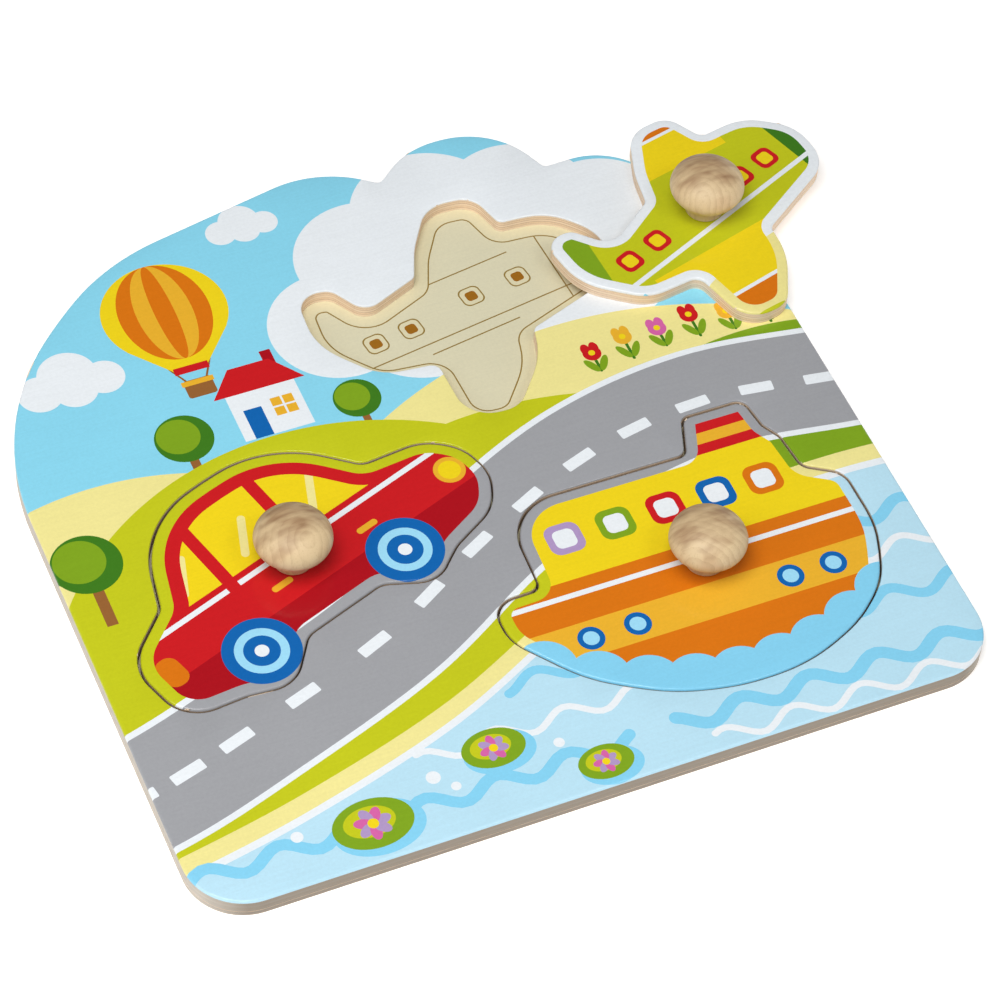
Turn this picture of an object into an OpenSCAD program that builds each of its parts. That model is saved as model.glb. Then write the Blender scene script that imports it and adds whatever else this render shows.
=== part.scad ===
// Wooden knob puzzle: a backed tray with three lift-out pieces (plane, car, boat).
// Millimetres, +Z up. The origin is the middle of the tray's underside.

/* [Tray] */
// Width of the tray from side to side
board_w = 300; // [285:1:340]
// Depth of the tray from the straight front edge to the highest lobe
board_d = 302; // [290:1:340]
// Thickness of the backing sheet
back_t = 2; // [1.5:0.1:4]
// Thickness of the plywood that the recesses are cut through
front_t = 5.6; // [4:0.1:9]
// Thickness of each printed sheet
sheet_t = 0.2; // [0.1:0.05:0.4]
// Radius of the rounded upper edge, tray and pieces
edge_r = 0.9; // [0.4:0.1:1.5]
// Width of the sanded bevel round each recess
rim_w = 0.5; // [0.2:0.1:1]

/* [Plane piece] */
// Length of the plane, tail to nose
plane_l = 119.6; // [110:0.1:124]
// Span of the plane, wing tip to wing tip
plane_span = 103.6; // [98:0.1:108]
// Turn of the plane's recess on the tray, degrees
plane_seat_turn = -3.8; // [-6:0.1:0]
// Turn of the plane where it lies on the tray, degrees
plane_rest_turn = 11; // [8:0.5:14]

/* [Car piece] */
// Length of the car, bumper to bumper
car_l = 153.8; // [140:0.1:156]
// Height of the car, wheels to roof
car_h = 87; // [80:0.1:92]
// Turn of the car in its recess, degrees
car_turn = 20; // [17:0.5:22]

/* [Boat piece] */
// Length of the boat, bow to stern
boat_l = 144; // [135:0.1:148]
// Height of the boat, keel to funnel
boat_h = 117.4; // [108:0.1:120]
// Turn of the boat in its recess, degrees
boat_turn = 0; // [-2:0.5:2]

/* [Knobs] */
// Diameter of the knob's cap
knob_d = 28.5; // [24:0.5:34]
// Height of the knob above the piece
knob_h = 22; // [18:0.5:28]
// Diameter of the knob's neck
neck_d = 14.8; // [11:0.5:16]
// Height of the straight part of the neck
neck_h = 2; // [1:0.5:4]
// Radius of the rounded foot of the knob
foot_r = 0.8; // [0.4:0.1:1]

/* [Screws] */
// Diameter of the wood screw's shank
screw_d = 3.2; // [2.5:0.1:4]
// Length of the wood screw
screw_l = 15; // [12:0.5:18]
// Diameter of the countersunk head
head_d = 6.4; // [5.5:0.1:8]
// Width of the driver slot
slot_w = 0.9; // [0.6:0.1:1.2]
// Depth of the driver slot
slot_depth = 0.8; // [0.5:0.1:1]

/* [Fits] */
// Gap round each piece in its recess
piece_gap = 0.6; // [0.4:0.1:1]
// Gap round the screw in the piece
hole_gap = 0.2; // [0.1:0.05:0.4]
// Gap round the screw in the knob's pilot hole
bite_gap = 0.05; // [0.05:0.01:0.2]
// Depth of the screw head below the underside of the piece
head_sink = 0.15; // [0.1:0.05:0.4]
// Length that every cut runs past a face
overrun = 1; // [0.5:0.1:2]

/* [Smoothness] */
// Angle of each step along a rounded outline, degrees
arc_step = 7.5; // [5:0.5:12]
// Sides of round parts
$fn = 64; // [32:4:96]

/* [Hidden] */
// Corners of the tray, anticlockwise: share of width, share of depth, radius as a share of width
board_shares = [
    [-0.5, 0, 0.073], [0.5, 0, 0.073], [0.5, 0.786, 0.1], [0.384, 0.913, 0.093],
    [0.305, 0.91, 0.008], [0.267, 1, 0.106], [0.149, 1, 0.113], [0.094, 0.956, 0.008],
    [0.027, 1.008, 0.147], [-0.289, 0.945, 0.307], [-0.5, 0.76, 0.37]
];
// Corners of the plane, clockwise from the tail: share of length, share of span, radius as a share of length
plane_shares = [
    [-0.525, 0.18, 0.066], [-0.42, 0.17, 0.05], [-0.338, 0.034, 0.067], [-0.142, 0.145, 0.033],
    [-0.103, 0.28, 0.33], [-0.014, 0.464, 0.117], [0.136, 0.464, 0.075], [0.184, 0.311, 0.033],
    [0.349, 0.311, 0.183], [0.477, 0.168, 0.15], [0.472, -0.04, 0.13], [0.14, -0.203, 0.033],
    [0.126, -0.331, 0.33], [-0.004, -0.536, 0.092], [-0.161, -0.536, 0.1], [-0.185, -0.263, 0.038],
    [-0.37, -0.254, 0.15], [-0.525, -0.063, 0.217]
];
// Corners of the car, anticlockwise from the roof: share of length, share of height, radius as a share of length
car_shares = [
    [-0.198, 0.549, 0.266], [-0.321, 0.158, 0.052], [-0.474, 0.014, 0.117], [-0.474, -0.327, 0.097],
    [-0.331, -0.393, 0.16], [-0.224, -0.478, 0.088], [-0.114, -0.328, 0.058], [0.11, -0.328, 0.058],
    [0.216, -0.468, 0.078], [0.318, -0.381, 0.13], [0.458, -0.333, 0.13], [0.525, -0.19, 0.117],
    [0.525, -0.016, 0.117], [0.467, 0.12, 0.13], [0.311, 0.188, 0.052], [0.178, 0.549, 0.286]
];
// Corners of the boat, clockwise from the bow: share of length, share of height, radius as a share of length
boat_shares = [
    [-0.549, 0.074, 0.058], [-0.416, 0.078, 0.028], [-0.403, 0.4, 0.139], [0.099, 0.398, 0.031],
    [0.141, 0.538, 0.028], [0.31, 0.538, 0.031], [0.322, 0.424, 0.028], [0.349, 0.364, 0.056],
    [0.359, 0.23, 0.042], [0.451, 0.16, 0.063], [0.453, -0.06, 0.31], [0.393, -0.249, 0.243],
    [0.291, -0.367, 0.417], [0.106, -0.462, 0.486], [-0.076, -0.462, 0.54], [-0.238, -0.416, 0.486],
    [-0.416, -0.282, 0.417], [-0.549, -0.07, 0.125]
];
// Place of each knob on the tray, as shares of width and depth from the front middle
plane_seat_share = [0.129, 0.736];
plane_rest_share = [0.459, 0.755];
car_seat_share = [-0.231, 0.428];
boat_seat_share = [0.228, 0.255];
// Where each seated piece has settled inside its gap, to the right and towards the back
car_drift = [0.25, 0.05];
boat_drift = [0, -0.25];
// Most of a straight run that the arcs at its two ends may take together
run_share = 0.995;
// Height of the knob's widest girth, as a share of the knob's height
girth_share = 0.59;
// Length of the screw's point, as a share of the screw's length
point_share = 0.2;
// Colours
ply_colour = [0.86, 0.74, 0.58];
backing_colour = [0.82, 0.72, 0.57];
lining_colour = [0.84, 0.81, 0.66];
sky_colour = [0.55, 0.84, 0.94];
plane_colour = [0.76, 0.78, 0.1];
car_colour = [0.8, 0.11, 0.13];
boat_colour = [0.88, 0.5, 0.06];
knob_colour = [0.78, 0.7, 0.57];
steel_colour = [0.7, 0.7, 0.72];
// Levels
lining_z = back_t;
floor_z = back_t + sheet_t;
face_z = floor_z + front_t;
top_z = face_z + sheet_t;
// Round parts
knob_r = knob_d / 2;
neck_r = neck_d / 2;
shank_r = screw_d / 2;
head_r = head_d / 2;
head_h = head_r - shank_r;
piece_t = front_t + sheet_t;
// Quarter turn split into the steps of a rounded edge
edge_steps = [90, 60, 30, 0];
quarter_steps = [for (angle = [0 : arc_step : 90]) angle];

function unit(v) = v / norm(v);
function cross_z(a, b) = a[0] * b[1] - a[1] * b[0];

// Half the angle between the two straight runs that meet at a corner
function half_angle(before, at, after) = acos(unit(before - at) * unit(after - at)) / 2;

// Points of one rounded corner between two straight runs
function corner_arc(before, at, after, r) =
    let (
        u = unit(before - at),
        w = unit(after - at),
        half = half_angle(before, at, after),
        centre = at + unit(u + w) * r / sin(half),
        from = at + u * r / tan(half) - centre,
        start = atan2(from[1], from[0]),
        sweep = sign(cross_z(at - before, after - at)) * (180 - 2 * half),
        steps = ceil(abs(sweep) / arc_step)
    )
    [for (i = [0 : steps]) centre + r * [cos(start + sweep * i / steps), sin(start + sweep * i / steps)]];

// Closed outline with every corner rounded, each arc limited by the runs that it joins
function outline(shares, l, h) =
    let (
        n = len(shares),
        at = [for (s = shares) [s[0] * l, s[1] * h]],
        before = [for (i = [0 : n - 1]) at[(i + n - 1) % n]],
        after = [for (i = [0 : n - 1]) at[(i + 1) % n]],
        reach = [for (i = [0 : n - 1]) shares[i][2] * l / tan(half_angle(before[i], at[i], after[i]))],
        room = [for (i = [0 : n - 1]) run_share * norm(after[i] - at[i]) / (reach[i] + reach[(i + 1) % n])],
        fit = [for (i = [0 : n - 1]) min(1, room[i], room[(i + n - 1) % n])]
    )
    [for (i = [0 : n - 1]) each corner_arc(before[i], at[i], after[i], fit[i] * shares[i][2] * l)];

// Same points in the other order round the outline
function turned_round(points) = [for (i = [len(points) - 1 : -1 : 0]) points[i]];

// Anticlockwise outline moved out by d, or in where d is negative, with its edges kept parallel
function grow(points, d) =
    let (n = len(points))
    [for (i = [0 : n - 1])
        let (
            a = unit(points[i] - points[(i + n - 1) % n]),
            b = unit(points[(i + 1) % n] - points[i]),
            out_a = [a[1], -a[0]],
            out_b = [b[1], -b[0]]
        )
        points[i] + d * (out_a + out_b) / (1 + out_a * out_b)
    ];

board_points = [for (p = outline(board_shares, board_w, board_d)) p - [0, board_d / 2]];
plane_points = turned_round(outline(plane_shares, plane_l, plane_span));
car_points = outline(car_shares, car_l, car_h);
boat_points = turned_round(outline(boat_shares, boat_l, boat_h));

// Ring swept round an outline; its section is a loop of [distance out from the outline, height]
module band(points, section) {
    n = len(points);
    m = len(section);
    spots = [for (s = section) each [for (p = grow(points, s[0])) [p[0], p[1], s[1]]]];
    walls = [for (k = [0 : m - 1], i = [0 : n - 1])
        let (k_next = (k + 1) % m, i_next = (i + 1) % n)
        [k * n + i, k_next * n + i, k_next * n + i_next, k * n + i_next]];
    polyhedron(spots, walls);
}

// Board of thickness t with a rounded upper edge
module board_blank(points, t) {
    outside = [[overrun, t - edge_r], [overrun, t + overrun], [-edge_r, t + overrun]];
    arris = [for (a = edge_steps) edge_r * [cos(a) - 1, sin(a) - 1] + [0, t]];
    difference() {
        linear_extrude(t)
            polygon(points);
        band(points, concat(outside, arris));
    }
}

// Cut for one recess, with its bevelled rim at the face of the plywood
module recess_cut(points) {
    slope = rim_w + overrun;
    translate([0, 0, -overrun])
        linear_extrude(front_t + 2 * overrun)
            polygon(grow(points, piece_gap));
    band(points, [
        [piece_gap - overrun, front_t - slope],
        [piece_gap + slope, front_t + overrun],
        [piece_gap - overrun, front_t + overrun]
    ]);
}

module at_share(share, turn) {
    translate([share[0] * board_w, (share[1] - 1 / 2) * board_d, 0])
        rotate(turn)
            children();
}

module recess_window(points) {
    polygon(grow(points, piece_gap + rim_w));
}

module piece_plate(points) {
    difference() {
        board_blank(points, front_t);
        translate([0, 0, -overrun])
            cylinder(h = front_t + 2 * overrun, r = shank_r + hole_gap);
        translate([0, 0, -overrun])
            cylinder(h = overrun + head_sink, r = head_r + hole_gap);
        translate([0, 0, head_sink])
            cylinder(h = head_h, r1 = head_r + hole_gap, r2 = shank_r + hole_gap);
    }
}

module piece_facing(points) {
    translate([0, 0, front_t])
        linear_extrude(sheet_t)
            difference() {
                polygon(grow(points, -edge_r));
                circle(r = shank_r + hole_gap);
            }
}

module knob() {
    girth_z = girth_share * knob_h;
    foot = [for (a = quarter_steps) [neck_r - foot_r * (1 - sin(a)), foot_r * (1 - cos(a))]];
    flare = [for (a = quarter_steps)
        [neck_r + (knob_r - neck_r) * (1 - cos(2 * a)) / 2, neck_h + (girth_z - neck_h) * a / 90]];
    dome = [for (a = quarter_steps) if (a > 0) [knob_r * cos(a), girth_z + (knob_h - girth_z) * sin(a)]];
    bite_l = screw_l + head_sink - piece_t;
    difference() {
        translate([0, 0, piece_t])
            rotate_extrude()
                polygon(concat([[0, 0]], foot, flare, dome));
        translate([0, 0, piece_t - overrun])
            cylinder(h = bite_l + overrun + foot_r, r = shank_r + bite_gap);
    }
}

module screw() {
    point_l = point_share * screw_l;
    translate([0, 0, head_sink])
        difference() {
            union() {
                cylinder(h = head_h, r1 = head_r, r2 = shank_r);
                cylinder(h = screw_l - point_l, r = shank_r);
                translate([0, 0, screw_l - point_l])
                    cylinder(h = point_l, r1 = shank_r, r2 = slot_w / 2);
            }
            for (turn = [0, 90])
                rotate(turn)
                    translate([-shank_r, -slot_w / 2, -overrun])
                        cube([screw_d, slot_w, overrun + slot_depth]);
        }
}

module plane_place() {
    translate([0, 0, top_z])
        at_share(plane_rest_share, plane_rest_turn)
            children();
}

module car_place() {
    translate([car_drift[0], car_drift[1], floor_z])
        at_share(car_seat_share, car_turn)
            children();
}

module boat_place() {
    translate([boat_drift[0], boat_drift[1], floor_z])
        at_share(boat_seat_share, boat_turn)
            children();
}

module back_board() {
    color(backing_colour)
        linear_extrude(back_t)
            polygon(board_points);
}

module lining() {
    color(lining_colour)
        translate([0, 0, lining_z])
            linear_extrude(sheet_t)
                polygon(grow(board_points, -edge_r));
}

module front_board() {
    color(ply_colour)
        translate([0, 0, floor_z])
            difference() {
                board_blank(board_points, front_t);
                at_share(plane_seat_share, plane_seat_turn)
                    recess_cut(plane_points);
                at_share(car_seat_share, car_turn)
                    recess_cut(car_points);
                at_share(boat_seat_share, boat_turn)
                    recess_cut(boat_points);
            }
}

module board_facing() {
    color(sky_colour)
        translate([0, 0, face_z])
            linear_extrude(sheet_t)
                difference() {
                    polygon(grow(board_points, -edge_r));
                    at_share(plane_seat_share, plane_seat_turn)
                        recess_window(plane_points);
                    at_share(car_seat_share, car_turn)
                        recess_window(car_points);
                    at_share(boat_seat_share, boat_turn)
                        recess_window(boat_points);
                }
}

module plane_plate() {
    color(ply_colour)
        plane_place()
            piece_plate(plane_points);
}

module plane_facing() {
    color(plane_colour)
        plane_place()
            piece_facing(plane_points);
}

module plane_knob() {
    color(knob_colour)
        plane_place()
            knob();
}

module plane_screw() {
    color(steel_colour)
        plane_place()
            screw();
}

module car_plate() {
    color(ply_colour)
        car_place()
            piece_plate(car_points);
}

module car_facing() {
    color(car_colour)
        car_place()
            piece_facing(car_points);
}

module car_knob() {
    color(knob_colour)
        car_place()
            knob();
}

module car_screw() {
    color(steel_colour)
        car_place()
            screw();
}

module boat_plate() {
    color(ply_colour)
        boat_place()
            piece_plate(boat_points);
}

module boat_facing() {
    color(boat_colour)
        boat_place()
            piece_facing(boat_points);
}

module boat_knob() {
    color(knob_colour)
        boat_place()
            knob();
}

module boat_screw() {
    color(steel_colour)
        boat_place()
            screw();
}

back_board();
lining();
front_board();
board_facing();
plane_plate();
plane_facing();
plane_knob();
plane_screw();
car_plate();
car_facing();
car_knob();
car_screw();
boat_plate();
boat_facing();
boat_knob();
boat_screw();
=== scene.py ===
"""Wooden knob puzzle: the plywood tray, its prints, three lift-out pieces and their turned knobs."""

import math
from collections import namedtuple

import bmesh
import bpy
import numpy as np
from mathutils import Color, Matrix, Vector
from mathutils.geometry import delaunay_2d_cdt, interpolate_bezier


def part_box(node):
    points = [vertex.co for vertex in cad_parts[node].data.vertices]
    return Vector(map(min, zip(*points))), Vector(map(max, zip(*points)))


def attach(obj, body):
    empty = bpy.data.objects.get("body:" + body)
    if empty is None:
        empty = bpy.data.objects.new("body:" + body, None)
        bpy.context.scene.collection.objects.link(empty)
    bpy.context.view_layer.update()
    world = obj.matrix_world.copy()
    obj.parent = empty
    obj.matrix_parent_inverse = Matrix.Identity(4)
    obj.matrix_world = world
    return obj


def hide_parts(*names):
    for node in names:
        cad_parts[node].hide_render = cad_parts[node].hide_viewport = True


bl_info = {
    "name": "Wooden Knob Puzzle",
    "version": (1, 0, 0),
    "blender": (4, 5, 0),
    "location": "3D View > Sidebar > Puzzle",
    "description": "Dresses the plywood tray, its prints, the lift-out pieces and their turned knobs",
    "category": "Object",
}

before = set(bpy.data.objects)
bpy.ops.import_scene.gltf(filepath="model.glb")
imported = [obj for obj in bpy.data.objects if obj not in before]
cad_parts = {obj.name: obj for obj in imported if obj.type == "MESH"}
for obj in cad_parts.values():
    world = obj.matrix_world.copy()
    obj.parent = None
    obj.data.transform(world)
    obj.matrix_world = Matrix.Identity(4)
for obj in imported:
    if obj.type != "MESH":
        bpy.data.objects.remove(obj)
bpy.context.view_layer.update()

MM = 0.001
PIECES = ("plane", "car", "boat")


# Properties

def paint(red, green, blue):
    """A print swatch of 0 to 255 a channel, as a scene linear colour."""
    swatch = Color((red / 255, green / 255, blue / 255))
    return tuple(swatch.from_srgb_to_scene_linear())


def colour(label, what, red, green, blue):
    """A colour property."""
    return bpy.props.FloatVectorProperty(
        name=label, description=what, subtype="COLOR", size=3, min=0, max=1, default=paint(red, green, blue)
    )


def number(label, what, value, **kind):
    """A number property, with its unit, subtype or limits."""
    return bpy.props.FloatProperty(name=label, description=what, default=value, **kind)


def size(label, what, millimetres):
    """A length property, given in millimetres."""
    return number(label, what, millimetres * MM, subtype="DISTANCE", unit="LENGTH", precision=5)


def angle(label, what, degrees):
    """An angle property, given in degrees."""
    return number(label, what, math.radians(degrees), subtype="ANGLE")


def power(label, what, watts):
    """A light's power property."""
    return number(label, what, watts, unit="POWER")


class PuzzleInks(bpy.types.PropertyGroup):
    """Colours of the prints."""

    paper: colour("Paper", "Browned cut edge of a printed sheet", 150, 118, 84)
    sky: colour("Sky", "Sky of the tray", 139, 215, 239)
    white: colour("White", "Clouds, road dashes and foam", 236, 241, 245)
    pale: colour("Pale yellow", "Far hills and the beach", 241, 230, 150)
    lime: colour("Lime", "Near hills and the plane's body", 196, 200, 28)
    green: colour("Green", "Trees, leaves and the plane's tail", 128, 165, 30)
    forest: colour("Dark green", "Tree shades and the plane's nose", 62, 122, 28)
    road: colour("Road", "Grey of the road", 160, 161, 165)
    water: colour("Water", "Pale blue of the bay", 186, 225, 242)
    wave: colour("Wave", "Blue of the waves", 134, 209, 240)
    red: colour("Red", "Car, roof and some flowers", 204, 26, 32)
    crimson: colour("Crimson", "Shaded red", 172, 12, 26)
    yellow: colour("Yellow", "Wings, cabin and car windows", 241, 213, 26)
    amber: colour("Amber", "Second stripe of the hull and balloon", 235, 178, 46)
    orange: colour("Orange", "Hull and wing tips", 219, 117, 14)
    blue: colour("Blue", "Wheels and portholes", 14, 100, 176)
    ice: colour("Light blue", "Wheel rings and portholes", 158, 219, 245)
    lilac: colour("Lilac", "One window frame and some petals", 176, 150, 196)
    pink: colour("Pink", "Some flowers and petals", 214, 100, 166)
    bark: colour("Bark", "Trunks and the balloon's basket", 150, 98, 50)
    cream: colour("Cream", "Floor of the recesses", 222, 214, 178)
    stone: colour("Stone", "Floor of the recesses inside the drawing", 220, 214, 183)
    line: colour("Line", "Fine drawing in the recesses", 148, 122, 58)
    umber: colour("Umber", "Filled shapes of the drawing in the recesses", 158, 104, 26)


class PuzzleWood(bpy.types.PropertyGroup):
    """Wood colours and the small sizes of edges and knobs."""

    veneer: colour("Veneer", "Long-grain layers of the plywood", 250, 228, 202)
    core: colour("Core", "End-grain layers of the plywood", 241, 211, 177)
    # Front and back outer walls: a darker tone with painted shade, darker than the sides
    edge: colour("Tray edge", "Outer walls across the grain, at the front and back", 157, 146, 132)
    # Side outer walls: painted lighter than the front and back, as if lit from the side
    lit_side_edge: colour("Tray side", "Outer walls along the grain, at the sides", 206, 198, 186)
    # Painted shade laid on walls deep in a narrow gap, where little light reaches
    painted_gap_shade: colour("Grime", "Walls deep in a narrow gap", 66, 49, 34)
    glue: colour("Glue line", "Dark seams between the layers", 156, 108, 74)
    beech: colour("Beech", "Pale wood of the knobs", 220, 194, 152)
    ring: colour("Growth ring", "Dark side of a growth ring", 178, 144, 106)
    flush: colour("Flush", "Pink stains of the beech", 202, 164, 124)
    # Dark end grain on the knobs' tops, also laid on their backs as painted shade
    crown: colour("Crown", "End grain on top of the knobs", 136, 100, 68)
    zinc: colour("Zinc", "Plated screws", 190, 190, 194)
    layer: size("Layer", "Thickness of one layer of the plywood", 1.12)
    backing_layer: size("Backing layer", "Thickness of one layer of the back board", 0.667)
    arris: size("Arris", "Rounding of the plywood's upper edge", 0.9)
    rim: size("Recess rim", "Rounding of the upper edge round a recess", 0.5)
    sanding: size("Sanding", "What sanding took off a piece's outline", 0.2)
    neck: size("Knob neck", "Width of the knob's neck", 14.8)
    neck_rise: size("Neck rise", "Height of the straight part of the neck", 2.0)
    foot: size("Foot", "Rounding where the neck meets the piece", 0.8)
    bore: size("Bore", "Width of the screw's bore in the knob", 3.3)
    girth: number("Girth", "Height of the widest girth as a share of the knob", 0.59, min=0.3, max=0.9)


class PuzzleStage(bpy.types.PropertyGroup):
    """Camera and lights."""

    azimuth: angle("Azimuth", "Camera's turn round the tray", -26.70)
    elevation: angle("Elevation", "Camera's height above the floor", 51.39)
    roll: angle("Roll", "Camera's lean", 4.73)
    distance: size("Distance", "Camera to the point it looks at", 1380.3)
    target: bpy.props.FloatVectorProperty(
        name="Target", description="Point that the camera looks at", subtype="XYZ", unit="LENGTH",
        default=(13.4 * MM, -17.1 * MM, 0),
    )
    lens: number("Lens", "Focal length in millimetres of a 36 mm wide picture", 136.68, min=10, max=400)
    key: power("Key light", "Large light above the tray's front left", 11.6)
    fill: power("Fill light", "Light on the left", 2.5)
    strip: power("Strip light", "Small light that draws the glint along front edges", 1.7)
    card: power("Card light", "Low light that draws the glint along right-hand edges", 1.2)
    room: number("Room light", "Strength of the room's light in front of the tray", 0.3, min=0, max=3)
    dusk: number("Dusk", "Share of the room's light that is left behind the tray", 0.25, min=0, max=1)
    glow: number("Floor glow", "Light that the floor gives off, so that it shows white", 0.3, min=0, max=3)
    floor: colour("Floor", "Colour of the floor", 250, 250, 250)


# Outlines, in millimetres

def corners(*points):
    """An outline with straight sides."""
    return [Vector(point) for point in points]


def turned(points, x, y, turn=0.0):
    """Points turned by an angle in degrees, then moved to x, y."""
    spin = Matrix.Rotation(math.radians(turn), 2)
    return [spin @ Vector(point) + Vector((x, y)) for point in points]


def disc(x, y, radius, stretch=1.0, turn=0.0):
    """A round outline, stretched along its own x. Larger ones have more points."""
    steps = 24 + 2 * int(radius)
    ring = [math.tau * k / steps for k in range(steps)]
    return turned([(radius * stretch * math.cos(a), radius * math.sin(a)) for a in ring], x, y, turn)


def block(x, y, width, height, turn=0.0, corner=0.0):
    """A rectangle about x, y, with rounded corners."""
    half_w = width / 2 - corner
    half_h = height / 2 - corner
    steps = 6
    quarter = [math.pi / 2 * k / steps for k in range(steps + 1)] if corner else [0.0]
    points = []
    for k, (side, end) in enumerate(((1, 1), (-1, 1), (-1, -1), (1, -1))):
        for a in quarter:
            around = a + k * math.pi / 2
            out, up = corner * math.cos(around), corner * math.sin(around)
            points.append((side * half_w + out, end * half_h + up))
    return turned(points, x, y, turn)


def curve(route, parts=10):
    """Points along a smooth open curve through the route."""
    route = [Vector(point) for point in route]
    ends = [2 * route[0] - route[1], *route, 2 * route[-1] - route[-2]]
    points = []
    for before, start, end, after in zip(ends, ends[1:], ends[2:], ends[3:]):
        leave = start + (end - before) / 6
        reach = end - (after - start) / 6
        points += interpolate_bezier(start, leave, reach, end, parts + 1)[:-1]
    return [*[point.to_2d() for point in points], route[-1]]


def anticlockwise(loop):
    """The loop, turned round if it runs clockwise."""
    twice_area = sum(a.x * b.y - b.x * a.y for a, b in zip(loop, loop[1:] + loop[:1]))
    return loop if twice_area > 0 else loop[::-1]


def ribbon(line, width):
    """A band of even width along a line."""
    line = [Vector(point) for point in line]
    normals = []
    for k in range(len(line)):
        along = (line[min(k + 1, len(line) - 1)] - line[max(k - 1, 0)]).normalized()
        normals.append(Vector((-along.y, along.x)) * width / 2)
    left = [point + normal for point, normal in zip(line, normals)]
    right = [point - normal for point, normal in zip(line, normals)]
    return anticlockwise(right + left[::-1])


def bar(x0, y0, x1, y1, width):
    """A straight stroke with round ends, whose corners stay just under half its width."""
    reach = Vector((x1 - x0, y1 - y0))
    turn = math.degrees(math.atan2(reach.y, reach.x))
    return block((x0 + x1) / 2, (y0 + y1) / 2, reach.length + width, width, turn, width / 2.001)


def distances(points, loop):
    """Distance of each point from a closed outline."""
    tiny = 1e-12
    points = np.array(points, float)[:, None, :]
    start = np.array(loop, float)[None, :, :]
    run = np.roll(start, -1, axis=1) - start
    share = ((points - start) * run).sum(2) / np.maximum((run * run).sum(2), tiny)
    near = start + np.clip(share, 0, 1)[:, :, None] * run
    return np.sqrt(((points - near) ** 2).sum(2)).min(1)


def inset(loop, depth):
    """The outline moved inwards by a depth, or outwards if it is negative, without points that cross over."""
    points = []
    for k, point in enumerate(loop):
        into = (point - loop[k - 1]).normalized()
        away = (loop[(k + 1) % len(loop)] - point).normalized()
        mitre = Vector((-into.y - away.y, into.x + away.x)) / (1 + into.dot(away))
        points.append(point + mitre * depth)
    least_share = 0.98
    clear = distances(points, loop) > least_share * abs(depth)
    return [point for point, keep in zip(points, clear) if keep]


def finer(loop, step=math.radians(2.6), straight=3):
    """The outline with its arcs split into finer steps.

    A side that is longer than its neighbour by the straight ratio keeps its direction, and so stays straight.
    """
    count = len(loop)
    runs = [loop[(k + 1) % count] - loop[k] for k in range(count)]
    leads = []
    for k, after in enumerate(runs):
        before = runs[k - 1]
        if before.length > straight * after.length:
            lead = before
        elif after.length > straight * before.length:
            lead = after
        else:
            lead = before.normalized() * after.length + after.normalized() * before.length
        leads.append(lead.normalized())
    points = []
    for k, run in enumerate(runs):
        start, end = loop[k], loop[(k + 1) % count]
        lead, follow = leads[k], leads[(k + 1) % count]
        parts = max(1, math.ceil(lead.angle(follow, 0) / step))
        reach = run.length / 3
        points += interpolate_bezier(start, start + lead * reach, end - follow * reach, end, parts + 1)[:-1]
    return [point.to_2d() for point in points]


def level_outlines(node, height):
    """Outlines of a CAD node's level face at a height in millimetres, longest first."""
    mesh = bmesh.new()
    mesh.from_mesh(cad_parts[node].data)
    bmesh.ops.remove_doubles(mesh, verts=mesh.verts, dist=1e-6)

    def is_level(face):
        return abs(face.normal.z) > 0.999 and abs(face.calc_center_median().z / MM - height) < 0.01

    level = {face for face in mesh.faces if is_level(face)}
    beside = {}
    for edge in mesh.edges:
        if sum(face in level for face in edge.link_faces) == 1:
            for vert in edge.verts:
                beside.setdefault(vert, []).append(edge.other_vert(vert))
    if not beside:
        raise RuntimeError(f"{node} has no level face at {height} mm")
    outlines = []
    while beside:
        last = None
        vert = next(iter(beside))
        outline = []
        while vert in beside:
            outline.append((vert.co / MM).to_2d())
            following = [v for v in beside.pop(vert) if v is not last]
            last, vert = vert, following[0]
        outlines.append(anticlockwise(outline))
    mesh.free()
    return sorted(outlines, key=lambda loop: -sum((b - a).length for a, b in zip(loop, loop[1:])))


# Meshes

def put(name, mesh, material, body, slot, *nodes):
    """Makes a piece of the object from a mesh that is already in place."""
    crease = math.radians(38)
    bmesh.ops.remove_doubles(mesh, verts=mesh.verts, dist=1e-7)
    bmesh.ops.recalc_face_normals(mesh, faces=mesh.faces)
    for face in mesh.faces:
        face.smooth = True
    for edge in mesh.edges:
        edge.smooth = edge.calc_face_angle(0) < crease
    data = bpy.data.meshes.new(name)
    mesh.to_mesh(data)
    mesh.free()
    data.materials.append(material)
    piece = bpy.data.objects.new(name, data)
    bpy.context.scene.collection.objects.link(piece)
    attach(piece, body)
    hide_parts(*nodes)


def raise_copy(mesh):
    """Extrudes all faces in place and gives the points of the upper copy."""
    raised = bmesh.ops.extrude_face_region(mesh, geom=mesh.faces[:])["geom"]
    return [part for part in raised if isinstance(part, bmesh.types.BMVert)]


def slab(outlines, low, high):
    """A plate between two heights in millimetres, with its outer outline first and its openings after it."""
    mesh = bmesh.new()
    for outline in outlines:
        verts = [mesh.verts.new((point.x * MM, point.y * MM, low * MM)) for point in outline]
        for k, vert in enumerate(verts):
            mesh.edges.new((verts[k - 1], vert))
    bmesh.ops.triangle_fill(mesh, use_beauty=True, use_dissolve=False, edges=mesh.edges[:])
    bmesh.ops.translate(mesh, vec=(0, 0, (high - low) * MM), verts=raise_copy(mesh))
    bmesh.ops.recalc_face_normals(mesh, faces=mesh.faces)
    return mesh


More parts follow.
